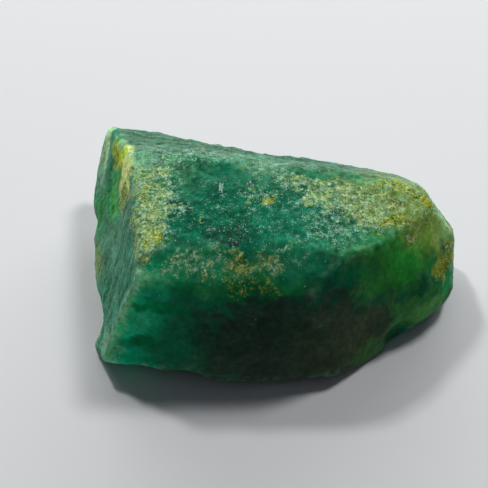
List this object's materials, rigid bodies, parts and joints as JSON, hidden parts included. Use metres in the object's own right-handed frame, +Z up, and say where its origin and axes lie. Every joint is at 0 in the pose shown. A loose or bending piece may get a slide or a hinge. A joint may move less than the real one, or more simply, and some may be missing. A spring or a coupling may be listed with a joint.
{
  "type": "rough fluorite stone",
  "caption": "Palm-size natural lump of rough green fluorite with cleaved faces, worn edges and a flat underside, to lie on a desk or a shelf.",
  "frame": {"origin": "middle of the stone's length and depth, on the plane of its flat underside", "axes": "+X along the length towards the rounded olive end, +Y towards the bevelled back, +Z up, away from the underside"},
  "size_m": [0.043, 0.0312, 0.0172],
  "materials": {
    "fluorite": "worn and waxy, slightly translucent, with a grainy yellow crust in patches"
  },
  "bodies": {
    "root": {"rough_fluorite": "fluorite"}
  },
  "joints": []
}
